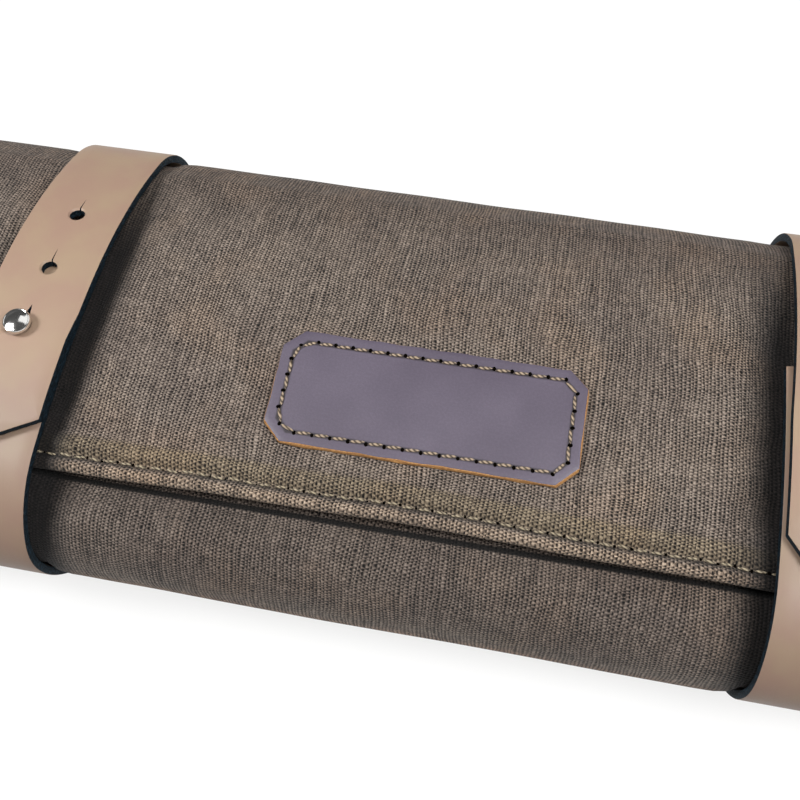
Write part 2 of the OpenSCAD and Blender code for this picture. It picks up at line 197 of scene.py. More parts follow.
def wrap(bm, line):
    """Bends a flat cut round a line: its Y runs along the line and its Z is the height over it."""
    flat = np.array([v.co for v in bm.verts])
    y, z, a = (np.interp(flat[:, 1], line.run, line.rows[:, i]) for i in range(3))
    t = np.radians(a)
    bent = np.stack([flat[:, 0], y + flat[:, 2] * np.cos(t), z + flat[:, 2] * np.sin(t)], 1) * mm
    for v, co in zip(bm.verts, bent):
        v.co = co
    bmesh.ops.recalc_face_normals(bm, faces=bm.faces[:])


def piece(name, bm, *finishes, crease=40):
    """Makes a named piece from a bmesh, with its finishes in their order."""
    mesh = bpy.data.meshes.new(name)
    for face in bm.faces:
        face.smooth = True
    bm.to_mesh(mesh)
    bm.free()
    mesh.set_sharp_from_angle(angle=math.radians(crease))
    obj = bpy.data.objects.new(name, mesh)
    bpy.context.scene.collection.objects.link(obj)
    for finish in finishes:
        mesh.materials.append(finish.material)
    return obj


class Socket:
    """A socket in a material's tree, with the sums that its expressions use."""

    def __init__(self, finish, out):
        self.finish, self.out = finish, out

    def math(self, operation, *values):
        return self.finish.node("ShaderNodeMath", {"operation": operation}, dict(enumerate([self, *values])))

    def __add__(self, other): return self.math("ADD", other)
    __radd__ = __add__
    def __sub__(self, other): return self.math("SUBTRACT", other)
    def __rsub__(self, other): return (self * -1) + other
    def __mul__(self, other): return self.math("MULTIPLY", other)
    __rmul__ = __mul__
    def __truediv__(self, other): return self.math("DIVIDE", other)
    def __abs__(self): return self.math("ABSOLUTE")
    def sin(self): return self.math("SINE")
    def peak(self, other): return self.math("MAXIMUM", other)
    def low(self, other): return self.math("MINIMUM", other)

    def between(self, a, b):
        """0 up to a and 1 from b on, smooth between them."""
        return self.finish.node("ShaderNodeMapRange", {"interpolation_type": "SMOOTHSTEP"},
                                {"Value": self, "From Min": a, "From Max": b})


class Finish:
    """A material and its nodes."""

    def __init__(self, name, **shader):
        self.material = bpy.data.materials.new(name)
        self.material.use_nodes = True
        self.tree = self.material.node_tree
        self.shader = self.tree.nodes["Principled BSDF"]
        for key, value in shader.items():
            self.shader.inputs[key.replace("_", " ")].default_value = value

    def node(self, kind, settings=None, sockets=None, out=0):
        """Adds a node: its settings first, then the values or links of its sockets."""
        made = self.tree.nodes.new(kind)
        for key, value in (settings or {}).items():
            if key == "stops":
                ramp = made.color_ramp
                while len(ramp.elements) < len(value):
                    ramp.elements.new(0.5)
                for element, (place, colour) in zip(ramp.elements, value):
                    element.position, element.color = place, (*colour, 1)
            else:
                setattr(made, key, value)
        for key, value in (sockets or {}).items():
            self.plug(made.inputs[key], value)
        return Socket(self, made.outputs[out])

    def plug(self, into, value):
        if isinstance(value, Socket):
            self.tree.links.new(value.out, into)
        else:
            into.default_value = value

    def set(self, **inputs):
        for key, value in inputs.items():
            self.plug(self.shader.inputs[key.replace("_", " ")], value)

    def blend(self, factor, a, b, how="MIX"):
        """Mixes two colours."""
        a, b = ((*c, 1) if isinstance(c, tuple) else c for c in (a, b))
        return self.node("ShaderNodeMix", {"data_type": "RGBA", "blend_type": how}, {0: factor, 6: a, 7: b}, out=2)

    def tint(self, colour, mask, by):
        """Multiplies a colour by another as far as the mask says."""
        return self.blend(mask, colour, self.blend(1.0, colour, by, "MULTIPLY"))

    def speckle(self, place, size, detail=2.0, rough=0.5):
        """Noise whose patches are about size across, in mm."""
        return self.node("ShaderNodeTexNoise", None,
                         {"Vector": place, "Scale": 1 / size, "Detail": detail, "Roughness": rough})

    def scaled(self, vector, by):
        return self.node("ShaderNodeVectorMath", {"operation": "MULTIPLY"}, {0: vector, 1: by})

    def on_cut(self):
        """Place on the flat cut, in mm."""
        return self.scaled(self.node("ShaderNodeUVMap", {"uv_map": "cut"}), (1000, 1000, 1000))

    def on_object(self):
        """Place on the object at rest, in mm."""
        return self.scaled(self.node("ShaderNodeTexCoord", out="Object"), (1000, 1000, 1000))

    def across_and_along(self, place):
        split = self.node("ShaderNodeSeparateXYZ", None, {0: place}).out.node
        return Socket(self, split.outputs[0]), Socket(self, split.outputs[1])

    def raised(self, height, distance, strength=1.0, under=None):
        """Normal of a height that is distance mm at 1."""
        sockets = {"Height": height, "Distance": distance * mm, "Strength": strength}
        if under:
            sockets["Normal"] = under
        return self.node("ShaderNodeBump", None, sockets)


def canvas_finish(name, worn, hem_at=None, groove_at=None, straps=True):
    """Waxed duck canvas: warp ribs 0.725 mm apart over fine weft, dark in the gaps, rubbed lighter where worn.
    Painted shade darkens it beside the straps; on the flap, painted shade darkens the seam's pinch and the back and a
    painted highlight lightens the hem's roll; on the front, painted shade darkens the upper wall and a band under the
    flap's edge."""
    f = Finish(name, Roughness=0.85, Sheen_Weight=0.03, Sheen_Roughness=0.5, Specular_IOR_Level=0.3)
    flat = f.on_cut()
    across, along = f.across_and_along(flat)
    drift = f.speckle(flat, 16, 1.0) - 0.5
    shake_x = f.speckle(f.scaled(flat, (0.9, 0.16, 1)), 1, 1.0) - 0.5
    shake_y = f.speckle(f.scaled(flat, (0.16, 0.9, 1)), 1, 1.0) - 0.5
    jitter = f.speckle(flat, 0.9, 1.0) - 0.5
    rib = (across + drift * 2.2 + shake_x * 0.75 + jitter * 0.2) * (math.pi / 0.725)
    warp, between_ribs = rib.sin(), (rib + math.pi / 2).sin()
    floats = ((along + drift * 1.5 + shake_y * 0.9 + jitter * 0.25) * (math.pi / 0.345)).sin()
    filled = f.speckle(flat, 8, 2, 0.6).between(0.35, 0.65)
    pinholes = (1 - abs(warp)) * (between_ribs * floats + 1) * 0.5
    weave = 0.68 + warp * floats * 0.17 - pinholes * (1.15 - filled * 0.45)
    slub_x = f.speckle(f.scaled(flat, (0.1, 1.6, 1)), 1, 2)
    slub_y = f.speckle(f.scaled(flat, (1.3, 0.09, 1)), 1, 2)
    fuzz = f.speckle(flat, 0.3, 3, 0.7)
    clumps = f.speckle(flat, 1.7, 2, 0.6)
    patchy = f.speckle(flat, 28, 3, 0.6)
    thread = weave + (slub_x * 0.6 + slub_y - 0.8) * 0.36 + (fuzz - 0.5) * 0.95 + (clumps - 0.5) * 0.38 - 0.04
    rub = None
    for s, half in worn:
        band = 1 - abs(along - s).between(half * 0.3, half)
        rub = band if rub is None else rub.peak(band)
    rub = rub * f.speckle(flat, 9, 4, 0.7).between(0.3, 0.75)
    body = f.node("ShaderNodeValToRGB", {"stops": [
        (0.0, (0.004, 0.003, 0.0024)), (0.3, (0.026, 0.02, 0.016)),
        (0.55, (0.106, 0.083, 0.067)), (1.0, (0.33, 0.272, 0.224))]}, {0: thread})
    body = f.tint(body, patchy.between(0.35, 0.7) * 0.6, (0.72, 0.7, 0.72))
    body = f.tint(body, f.speckle(flat, 19, 2, 0.5).between(0.45, 0.7) * 0.5, (1.22, 1.1, 0.97))
    body = f.tint(body, rub * 0.5, (1.7, 1.5, 1.28))
    # Painted shade: near-black bands along the straps' inner edges, where the straps shade the canvas; they fade out
    # under the straps and towards the back.
    if straps:
        inner_left = 1 - (across + (strap_x - strap_half)).between(1.5, 9.0)
        inner_right = 1 - ((strap_x - strap_half) - across).between(0.0, 10.0)
        under = (abs(across) - (strap_x - strap_half)).between(2.0, 5.0)
        strap_shade_mask = inner_left.peak(inner_right) * (1 - under) * (along + 50).between(0, 40)
        body = f.tint(body, strap_shade_mask * 0.95, (0.04, 0.04, 0.055))
    if hem_at is not None:
        body = f.tint(body, (1 - abs(along - hem_at).between(1.2, 3.0)) * 0.5, (1.02, 0.98, 0.66))
        # Painted highlight: the hem's roll, from just past the stitches to the edge, is lightened.
        body = f.tint(body, (along - hem_at - 2.9).between(0.0, 0.7) * 0.9, (1.4, 1.33, 1.2))
        # Painted shade: a thin dark line in the seam's pinch just past the hem stitches.
        body = f.tint(body, (1 - abs(along - hem_at - 2.45).between(0.1, 0.5)) * 0.75, (0.2, 0.19, 0.17))
        # Painted shade: the flap's canvas darkens towards the back of the roll.
        body = f.tint(body, 1 - (along + 42).between(0, 26), (0.72, 0.69, 0.68))
    if groove_at is not None:
        # Painted shade: the front wall is darker from partway up to the lip, below the flap.
        body = f.tint(body, (along - 62).between(0, 10), (0.66, 0.65, 0.66))
        body = f.tint(body, 1 - abs(along - 55).between(4, 11), (1.4, 1.16, 0.98))
        # Painted shadow: a near-black band on the front wall right under the flap's edge.
        body = f.tint(body, 1 - abs(along - groove_at).between(0.4, 0.9), (0.03, 0.025, 0.02))
    f.set(Base_Color=body, Roughness=0.95 - weave * 0.2,
          Normal=f.raised(weave + fuzz * 0.3 + clumps * 0.3, 0.2, 0.9))
    return f


def flap_lift(x, s):
    """How far the canvas stands off its even line: soft waves, dips beside the straps, flat under the patch,
    a fold along the hem that swells between its stitches and the edge."""
    wave = 0.3 * noise.noise(Vector((x / 42, s / 26, 3))) + 0.15 * noise.noise(Vector((x / 17, s / 12, 8)))
    off = abs(abs(x) - strap_x)
    clear = ease(off, strap_half + 0.3, strap_half + 5)
    dip = (1 - ease(off, strap_half - 0.5, strap_half + (11 if x > 0 else 6.5))) * ease(s, -34, -6)
    px, ps = max(0, abs(x - patch_x) - patch_half_l), max(0, abs(s - patch_s) - patch_half_w)
    under_patch = 1 - ease(math.hypot(px, ps), 0, 4)
    crown_swell = bell(s, -48, 20) * float(np.interp(x, (-75, -40, 20, 60), (1.1, 1.0, 0.5, 0.2)))
    wave *= ease(s, -98, -84)
    lift = (wave + crown_swell) * clear * (1 - under_patch) - (3.0 - 1.5 * ease(s, 24, 30)) * dip
    stitch_s = hem_s - stitch_inset
    hem = 0.75 * bell(s, hem_s - 1.4, 1.9) - 0.75 * bell(s, stitch_s, 1.2) + 0.75 * bell(s, stitch_s - 2.4, 2.5)
    return lift + hem * (1 - 0.7 * dip)


def hem_drift(x, s):
    """Slight slant and waver of the hem, in mm along the flap."""
    slant = float(np.interp(x, (-130, -69, -40, 0, 60, 130), (-0.9, -0.9, -1.4, -2.0, -0.9, -0.4)))
    return ease(s, 18, 36) * (slant + 0.35 * noise.noise(Vector((x / 24, 5, 1))))


def rolled(x, edge, r):
    """Drop of a surface that rolls over an edge with a radius."""
    past = max(0, abs(x) - (edge - r))
    return r - math.sqrt(max(0, r * r - past * past))


def flap_depth(x, s):
    turned = ease(abs(x), 138.2, 138.8)
    body = quilt_t + (canvas_t - quilt_t) * ease(abs(x), end_x - 0.4, end_x)
    side = quilt_t + (wall_t - quilt_t) * turned
    depth = body + (side - body) * ease(s, -63.5, -62)
    return depth + (hem_t - depth) * ease(s, 29.5, 31.5)


columns = places(-half_l, (-133, 0.8), (133, 2), (half_l, 0.8))
cut = flat_cut(columns, places(-under_s, (-76, 2.5), (-57, 1), (28, 2.2), (hem_s, 0.6)))
give_depth(cut, flap_depth, 0.5)
mark_cut(cut)
for v in cut.verts:
    x, s, outer = v.co.x, v.co.y, 1 - ease(-v.co.z, 0.6, 1.9)
    v.co.z += flap_lift(x, s) * outer
    v.co.z -= outer * (rolled(x, half_l, 2.2) + 0.6 * rolled(s, hem_s, 1.3))
    v.co.y -= (1 - outer) * 1.5 * ease(s, hem_s - 3, hem_s)
    v.co.y += hem_drift(x, s)
wrap(cut, girth)
flap_canvas = canvas_finish("canvas_of_the_flap", [(-48, 14), (-90, 16)], hem_at=hem_s - 5.3)
canvas_flap = piece("canvas_flap", cut, flap_canvas)
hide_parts("flap_canvas", "flap_padding", "flap_hem")
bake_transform(canvas_flap)


# Front half of the roll: a second cut of the same canvas over foam, from the seam along the floor
# up the front wall to its free edge, which is turned under and lies below the flap.
front = Line([
    (0, heel_z, heel_r, 270, 270), (-heel_y, heel_z, heel_r, 270, 180),
    (lip_r - half_w, mid_z, lip_r, 180, 90), (lip_r - half_w + hem_w, mid_z, lip_r, 90, 90)])
lip_s = front.run[-1]


edge_y, edge_z, _ = girth.at(hem_s, -hem_t)
gap_s = float(front.run[np.argmin(np.hypot(front.rows[:, 0] - edge_y, front.rows[:, 1] - edge_z))])


def heel_sink(s):
    """How far a tight strap sinks into the padding round the lower front edge."""
    return 1.9 * bell(s, 54, 20)


def front_lift(x, s):
    wave = 0.4 * noise.noise(Vector((x / 38, s / 24, 11))) + 0.16 * noise.noise(Vector((x / 15, s / 11, 17)))
    off = abs(abs(x) - strap_x)
    press = 1 - ease(off, strap_half - 1, strap_half + 8)
    free = ease(s, 30, 45) * (1 - ease(s, 84, 92))
    gap = float(np.interp(x, (-60, 60), (2.2, 1.2))) * bell(s, gap_s, 9)
    under_strap = 1.3 * press * ease(s, 62, 74)
    under_strap += heel_sink(s) * (1 - ease(off, strap_half + 0.3, strap_half + 2.6))
    seams = 0.6 * bell(s, 53, 16) + 0.5 * bell(s, lip_s - 3, 1.1)
    return (wave * 0.7 * free - gap) * (1 - press) - under_strap - seams


def front_depth(x, s):
    body = quilt_t + (canvas_t - quilt_t) * ease(abs(x), end_x - 0.4, end_x)
    return body + (hem_t - body) * ease(s, lip_s - hem_w - 0.6, lip_s - hem_w + 0.6)


cut = flat_cut(columns, places(0, (26, 3), (lip_s - 12, 1.8), (lip_s, 0.7)))
give_depth(cut, front_depth, 0.5)
mark_cut(cut)
for v in cut.verts:
    x, s, outer = v.co.x, v.co.y, 1 - ease(-v.co.z, 0.6, 1.1)
    v.co.z += outer * (front_lift(x, s) - rolled(x, half_l, 1.4) * 0.5)
wrap(cut, front)
front_canvas = canvas_finish("canvas_of_the_front", [(50, 16), (40, 12)], groove_at=gap_s + 0.75)
canvas_front = piece("canvas_front", cut, front_canvas)
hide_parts("canvas_body", "padding_body", "front_hem")
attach(canvas_front, "roll")


# Lining: a soft brushed cloth, cut in two like the canvas and sewn in behind the foam.
# The back one runs on into the flap, up to its hem.
def lining_finish(name):
    f = Finish(name, Roughness=0.9, Sheen_Weight=0.4, Sheen_Roughness=0.4, Specular_IOR_Level=0.2)
    place = f.on_object()
    nap = f.speckle(place, 0.5, 4, 0.7)
    brushed = f.speckle(f.scaled(place, (0.4, 0.8, 0.8)), 9, 3, 0.5)
    tone = (nap * 0.8 + brushed * 0.35).between(0.25, 0.95)
    f.set(Base_Color=f.blend(tone, (0.15, 0.123, 0.092), (0.27, 0.228, 0.175)),
          Roughness=0.8 + nap * 0.2, Normal=f.raised(nap, 0.12, 0.6))
    return f


lining = lining_finish("brushed_lining")
lining_top = quilt_t + 0.08


def lining_sheet(name, xs, ys, line, half_at):
    """Sheet of lining behind the foam, half_at(s) wide to each side."""
    bm = flat_cut(xs, ys)
    give_depth(bm, lambda x, s: wall_t - lining_top, 0.25)
    for v in bm.verts:
        wave = 0.25 * noise.noise(Vector((v.co.x / 22, v.co.y / 17, 23)))
        v.co = (v.co.x / xs[-1] * half_at(v.co.y), v.co.y, v.co.z - lining_top + min(0, wave))
    wrap(bm, line)
    return piece(name, bm, lining)


width = places(-135, (135, 4))
lining_flap = lining_sheet("lining_flap", width, places(-under_s, (-76, 4), (-57, 1), (30, 3)), girth,
                           lambda s: 134.9 + 3.3 * ease(s, -63, -61))
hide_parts("flap_lining")
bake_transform(lining_flap)

lining_front = lining_sheet("lining_front", width, places(0, (36, 4), (lip_s - hem_w - 1, 2)), front, lambda s: 134.9)
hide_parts("lining_body")
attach(lining_front, "roll")


# End panels: canvas over foam, cut to the roll's section, domed by the foam and sewn in round the
# edge, with a brushed lining panel behind each.
def section_outline(body_d, flap_d):
    """Outline of the space inside the walls, from the middle of the floor up the back, and round."""
    lip_z = mid_z + lip_r - hem_t - 0.12
    lip_end_y = lip_r - half_w + hem_w
    points = [girth.at(s, -body_d)[:2] for s in np.linspace(-under_s, -62.8, 34)]
    points += [girth.at(s, -flap_d)[:2] for s in np.linspace(-62.6, 27.6, 46)]
    points += [(lip_end_y + 0.3, lip_z), (lip_r - half_w, lip_z)]
    points += [front.at(s, -body_d)[:2] for s in np.linspace(lip_s - hem_w, 2, 34)]
    return points


def from_outline(points, x):
    """One face with this outline in Y and Z, at a place along the roll."""
    return one_face([(x, y, z) for y, z in points])


def raise_face(bm, x):
    """Draws the bmesh's one face out to a place along the roll."""
    for v in extruded(bm):
        v.co.x = x
    bmesh.ops.recalc_face_normals(bm, faces=bm.faces[:])


def ringed(outline, rings):
    """Closed form from one outline in Y and Z, drawn in towards the section's middle line, and its
    place along the roll: rings of (inset, place)."""
    n, last = len(outline), len(rings) - 1
    bm = bmesh.new()
    bmesh.ops.create_grid(bm, x_segments=n, y_segments=last, size=0.5)
    for v in bm.verts:
        y, z = outline[round((v.co.x + 0.5) * n) % n]
        inset, x = rings[round((v.co.y + 0.5) * last)]
        core = Vector((min(28, max(-28, y)), 24.5))
        y, z = Vector((y, z)) + (core - Vector((y, z))).normalized() * inset
        v.co = (x, y, z)
    bmesh.ops.remove_doubles(bm, verts=bm.verts[:], dist=1e-3)
    bmesh.ops.holes_fill(bm, edges=[e for e in bm.edges if e.is_boundary])
    return bm


def mark_section(bm):
    mark_cut(bm, lambda c: (c.y + c.x, c.z + c.x))


def to_metres(bm, side=1):
    bmesh.ops.scale(bm, vec=(side * mm, mm, mm), verts=bm.verts)
    bmesh.ops.recalc_face_normals(bm, faces=bm.faces[:])


panel_canvas = canvas_finish("canvas_of_the_ends", [(6, 5)], straps=False)
outline = section_outline(canvas_t + 0.12, wall_t + 0.3)
panel_rings = [(13, 136), (0.5, 136), (0.1, 136.3), (0, 138.2), (0.25, 138.9), (0.9, 139.25), (1.7, 139.2),
               (2.2, 138.75), (2.6, 138.7), (3.1, 139.1), (4.2, 139.55), (6, 139.95), (9, 140.35), (13, 140.55)]
for side, word in ((-1, "left"), (1, "right")):
    bm = ringed(outline, panel_rings)
    mark_section(bm)
    to_metres(bm, side)
    panel = piece("end_panel_" + word, bm, panel_canvas, crease=60)
    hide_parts("end_" + word, "end_padding_" + word)
    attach(panel, "roll")

    bm = from_outline(outline, 135.16)
    raise_face(bm, 135.9)
    mark_section(bm)
    to_metres(bm, side)
    panel = piece("end_lining_piece_" + word, bm, lining)
    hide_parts("end_lining_" + word)
    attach(panel, "roll")


# Dividers: stiff boards covered with the lining cloth, standing between the pillows.
board_d = wall_t + 0.12
half_board = [front.at(s, -board_d)[:2] for s in np.linspace(0, lip_s - hem_w, 40)]
board = [(-y, z) for y, z in half_board] + half_board[:0:-1]
for i, x in enumerate((-68.27, 0, 68.27)):
    bm = from_outline(board, x - 1.5)
    raise_face(bm, x + 1.5)
    round_edges(bm, [e for e in bm.edges if e.calc_face_angle(0) > 1], 1.1, 4)
    to_metres(bm)
    divider = piece(f"divider_board_{i + 1}", bm, lining)
    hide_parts(f"divider_{i + 1}")
    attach(divider, "roll")


# Watch pillows: soft foam cushions in brushed cloth, sewn from a long band and two end pieces with
# a corded seam round each end. A closed watch strap goes round each.
pillow_finish = lining_finish("pillow_cloth")
pillow_half_l, pillow_half_w, pillow_half_h, pillow_z = 27.9, 36.3, 10.9, 19


def pillow_ring(grow=0.0):
    """Oval outline of a pillow's end piece, in Y and Z."""
    turns = np.linspace(0, 2 * math.pi, 73)[:-1]
    return [(math.copysign(abs(math.cos(t)) ** 0.62, math.cos(t)) * (pillow_half_w + grow),
             pillow_z + math.copysign(abs(math.sin(t)) ** 0.8, math.sin(t)) * (pillow_half_h + grow)) for t in turns]


def remade(bm, name, kind, settings, frames=1, held=None):
    """Runs one modifier on a bmesh and returns what comes out."""
    mesh = bpy.data.meshes.new(name)
    bm.to_mesh(mesh)
    bm.free()
    obj = bpy.data.objects.new(name, mesh)
    bpy.context.scene.collection.objects.link(obj)
    modifier = obj.modifiers.new(name, kind)
    for key, value in settings.items():
        owner, *rest = key.split(".")
        setattr(getattr(modifier, owner) if rest else modifier, rest[0] if rest else owner, value)
    if held:
        obj.vertex_groups.new(name="seam").add([v.index for v in mesh.vertices if held(v.co)], 1.0, "REPLACE")
        modifier.settings.effector_weights.gravity = 0
        modifier.settings.vertex_group_mass = "seam"
        modifier.point_cache.frame_end = frames
    for frame in range(1, frames + 1):
        bpy.context.scene.frame_set(frame)
    made = bmesh.new()
    made.from_mesh(obj.evaluated_get(bpy.context.evaluated_depsgraph_get()).to_mesh())
    bpy.data.objects.remove(obj)
    bpy.context.scene.frame_set(1)
    return made


def stuffed(bm, held, reach):
    """Stuffs a closed cover as cloth under pressure, ten times its size, and eases it. Its seams are
    held, and no point moves further than the reach, in mm."""
    bmesh.ops.scale(bm, vec=(0.01, 0.01, 0.01), verts=bm.verts)
    bm = remade(bm, "cover", "REMESH", {"mode": "VOXEL", "voxel_size": 0.024})
    start = [v.co.copy() for v in bm.verts]
    bm = remade(bm, "stuffing", "CLOTH",
                {"settings.use_pressure": True, "settings.uniform_pressure_force": 4.0}, 20,
                lambda c: held(c * 100))
    for v, was in zip(bm.verts, start):
        move = v.co - was
        v.co = was + move * min(1, reach * 0.01 / max(move.length, 1e-6))
    bmesh.ops.scale(bm, vec=(100, 100, 100), verts=bm.verts)
    return remade(bm, "eased", "SUBSURF", {"levels": 1, "render_levels": 1})


def ring_cord(path, r):
    """Closed cord of radius r round a path that lies in one plane across the roll."""
    n = len(path)
    bm = bmesh.new()
    bmesh.ops.create_grid(bm, x_segments=n, y_segments=8, size=0.5)
    for v in bm.verts:
        i, turn = round((v.co.x + 0.5) * n) % n, (v.co.y + 0.5) * 2 * math.pi
        ahead = (Vector(path[(i + 1) % n]) - Vector(path[i - 1])).normalized()
        out = Vector((1, 0, 0))
        v.co = Vector(path[i]) + (out * math.cos(turn) + ahead.cross(out) * math.sin(turn)) * r
    bmesh.ops.remove_doubles(bm, verts=bm.verts[:], dist=r / 50)
    return bm


def add_to(bm, other):
    mesh = bpy.data.meshes.new("added")
    other.to_mesh(mesh)
    other.free()
    bm.from_mesh(mesh)


for i, x in enumerate((-102.4, -34.13, 34.13, 102.4)):
    bm = ringed(pillow_ring(), [(9, -pillow_half_l), (0, -pillow_half_l), (0, pillow_half_l), (9, pillow_half_l)])
    bmesh.ops.recalc_face_normals(bm, faces=bm.faces[:])
    for v in bm.verts:
        v.co.z += 0.5 * noise.noise(Vector((v.co.y / 20, v.co.x, i)))
    bm = stuffed(bm, lambda c: abs(abs(c.x) - pillow_half_l) < 2.6 and
                 (abs(c.y / pillow_half_w) ** 3.2 + abs((c.z - pillow_z) / pillow_half_h) ** 2.5) > 0.8, 2.2)
    for v in bm.verts:
        v.co.z += 0.25 * noise.noise(Vector((v.co.x / 13, v.co.y / 17, v.co.z / 12 + 9 * i)))
        v.co.z = max(7.1, v.co.z)
    for end in (-pillow_half_l, pillow_half_l):
        add_to(bm, ring_cord([(end, y, z) for y, z in pillow_ring(0.15)], 0.55))
    for v in bm.verts:
        v.co.x += x
    to_metres(bm)
    pillow = piece(f"pillow_{i + 1}", bm, pillow_finish, crease=80)
    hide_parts(f"watch_pillow_{i + 1}")
    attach(pillow, "roll")


# Straps: taupe leather 20 by 1.8 mm with smooth faces and inked, fibrous cut edges. Each runs from
# the stud end on the flap down the front, under the roll and up the back, where it is riveted.
strap_t, strap_gap = 1.8, 0.3
rise_a, rise_r, rise_z = crown(half_h + 2.4, shoulder_r + strap_gap)
over = Line([
    (shoulder_y, mid_z, shoulder_r + strap_gap, 0, 90 - rise_a), (0, rise_z, rise_r, 90 - rise_a, 90),
    (0, crown_z, crown_r + 2.4, 90, 90 + crown_a), (-shoulder_y, mid_z, shoulder_r + 2.4, 90 + crown_a, 180)], 90)


def leather_finish():
    f = Finish("strap_leather_face", Specular_IOR_Level=0.4, Coat_Roughness=0.35)
    place = f.on_cut()
    along = f.across_and_along(place)[1]
    grain = f.speckle(place, 0.45, 3, 0.6)
    pores = f.speckle(place, 0.16, 2, 0.6)
    cloud = f.speckle(place, 12, 3, 0.55)
    tone = f.blend(cloud.between(0.3, 0.7), (0.262, 0.170, 0.125), (0.275, 0.196, 0.131))
    tone = f.blend(pores.between(0.62, 0.8) * 0.25, tone, (0.22, 0.145, 0.106))
    # Painted shade: the face darkens and cools from past the crown down the front, and darkens further on the lower
    # front.
    tone = f.tint(tone, (along - 14).between(0, 20), (0.82, 0.84, 0.88))
    tone = f.tint(tone, (along - 38).between(0, 28), (0.64, 0.52, 0.42))
    f.set(Base_Color=tone, Roughness=0.42 + grain * 0.16,
          Normal=f.raised(grain * 0.6 + pores * 0.4, 0.05, 0.35))
    return f


def ink_finish():
    f = Finish("strap_leather_edge", Roughness=0.7, Specular_IOR_Level=0.12)
    place = f.on_cut()
    fibre = f.speckle(f.scaled(place, (1, 0.5, 1)), 0.4, 4, 0.75)
    f.set(Base_Color=f.blend(fibre.between(0.4, 0.75), (0.0008, 0.002, 0.0032), (0.02, 0.042, 0.062)),
          Normal=f.raised(fibre, 0.25, 0.8))
    return f


leather, ink = leather_finish(), ink_finish()


def carve(name, bm, tool):
    """Cuts one closed bmesh out of another and returns what is left as a bmesh."""
    meshes = []
    for part in (bm, tool):
        mesh = bpy.data.meshes.new(name)
        part.to_mesh(mesh)
        part.free()
        meshes.append(bpy.data.objects.new(name, mesh))
        bpy.context.scene.collection.objects.link(meshes[-1])
    cut = meshes[0].modifiers.new("cut", "BOOLEAN")
    cut.operation, cut.solver, cut.object = "DIFFERENCE", "EXACT", meshes[1]
    seen = meshes[0].evaluated_get(bpy.context.evaluated_depsgraph_get())
    left = bmesh.new()
    left.from_mesh(seen.to_mesh())
    for obj in meshes:
        bpy.data.objects.remove(obj)
    return left


def keyhole(s, slit, gape):
    """Punch for a round hole with a slit behind it, and the cone that eases the hole's rim."""
    r = 1.6
    turn = math.asin(gape / 2 / r)
    a = np.linspace(math.pi * 1.5 + turn, math.pi * 3.5 - turn, 30)
    points = [(r * math.cos(t), s + r * math.sin(t)) for t in a] + [(0, s - slit)]
    bm = one_face([(x, y, -1) for x, y in points])
    bmesh.ops.translate(bm, vec=(0, 0, strap_t + 2), verts=extruded(bm))
    bmesh.ops.recalc_face_normals(bm, faces=bm.faces[:])
    ease_bm = bmesh.new()
    bmesh.ops.create_cone(ease_bm, cap_ends=True, segments=36, radius1=r - 0.1, radius2=r + 0.8, depth=0.8,
                          matrix=Matrix.Translation((0, s, strap_t)))
    return bm, ease_bm


def score(bm, axis, spots):
    """Cuts the faces along straight lines, at these places on one axis, so that they can bend there."""
    for spot in spots:
        co, no = [0, 0, 0], [0, 0, 0]
        co[axis], no[axis] = spot, 1
        bmesh.ops.bisect_plane(bm, geom=bm.verts[:] + bm.edges[:] + bm.faces[:], plane_co=co, plane_no=no)


def strap(name, outline, line, stations, lift, middle, shift=lambda s: 0.0, holes=(), square=None):
    """Flat strip of leather, cut, eased at its edges, punched and bent round a line."""
    bm = one_face([(x, s, 0) for x, s in outline])
    bmesh.ops.translate(bm, vec=(0, 0, strap_t), verts=extruded(bm))
    bmesh.ops.recalc_face_normals(bm, faces=bm.faces[:])
    round_edges(bm, bm.edges[:], 0.28, 2)
    for s in square or ():
        cut = bmesh.ops.bisect_plane(bm, geom=bm.verts[:] + bm.edges[:] + bm.faces[:], plane_co=(0, s, 0),
                                     plane_no=(0, math.copysign(1, s), 0), clear_outer=True)["geom_cut"]
        bmesh.ops.holes_fill(bm, edges=[e for e in cut if isinstance(e, bmesh.types.BMEdge)])
    for s, slit, gape in holes:
        for tool in keyhole(s, slit, gape):
            bm = carve(name, bm, tool)
    score(bm, 1, stations)
    score(bm, 0, (-7, 7))
    for face in bm.faces:
        face.material_index = 1 if abs(face.normal.z) < 0.6 else 0
    mark_cut(bm)
    for v in bm.verts:
        s = v.co.y
        v.co = (v.co.x + middle + shift(s), s, v.co.z + lift(s))
    wrap(bm, line)
    return piece(name, bm, leather, ink)


def angle_place(line, angle):
    """Distance along a line to where its outward angle is this, in degrees."""
    return float(np.interp(angle, line.rows[:, 2], line.run))


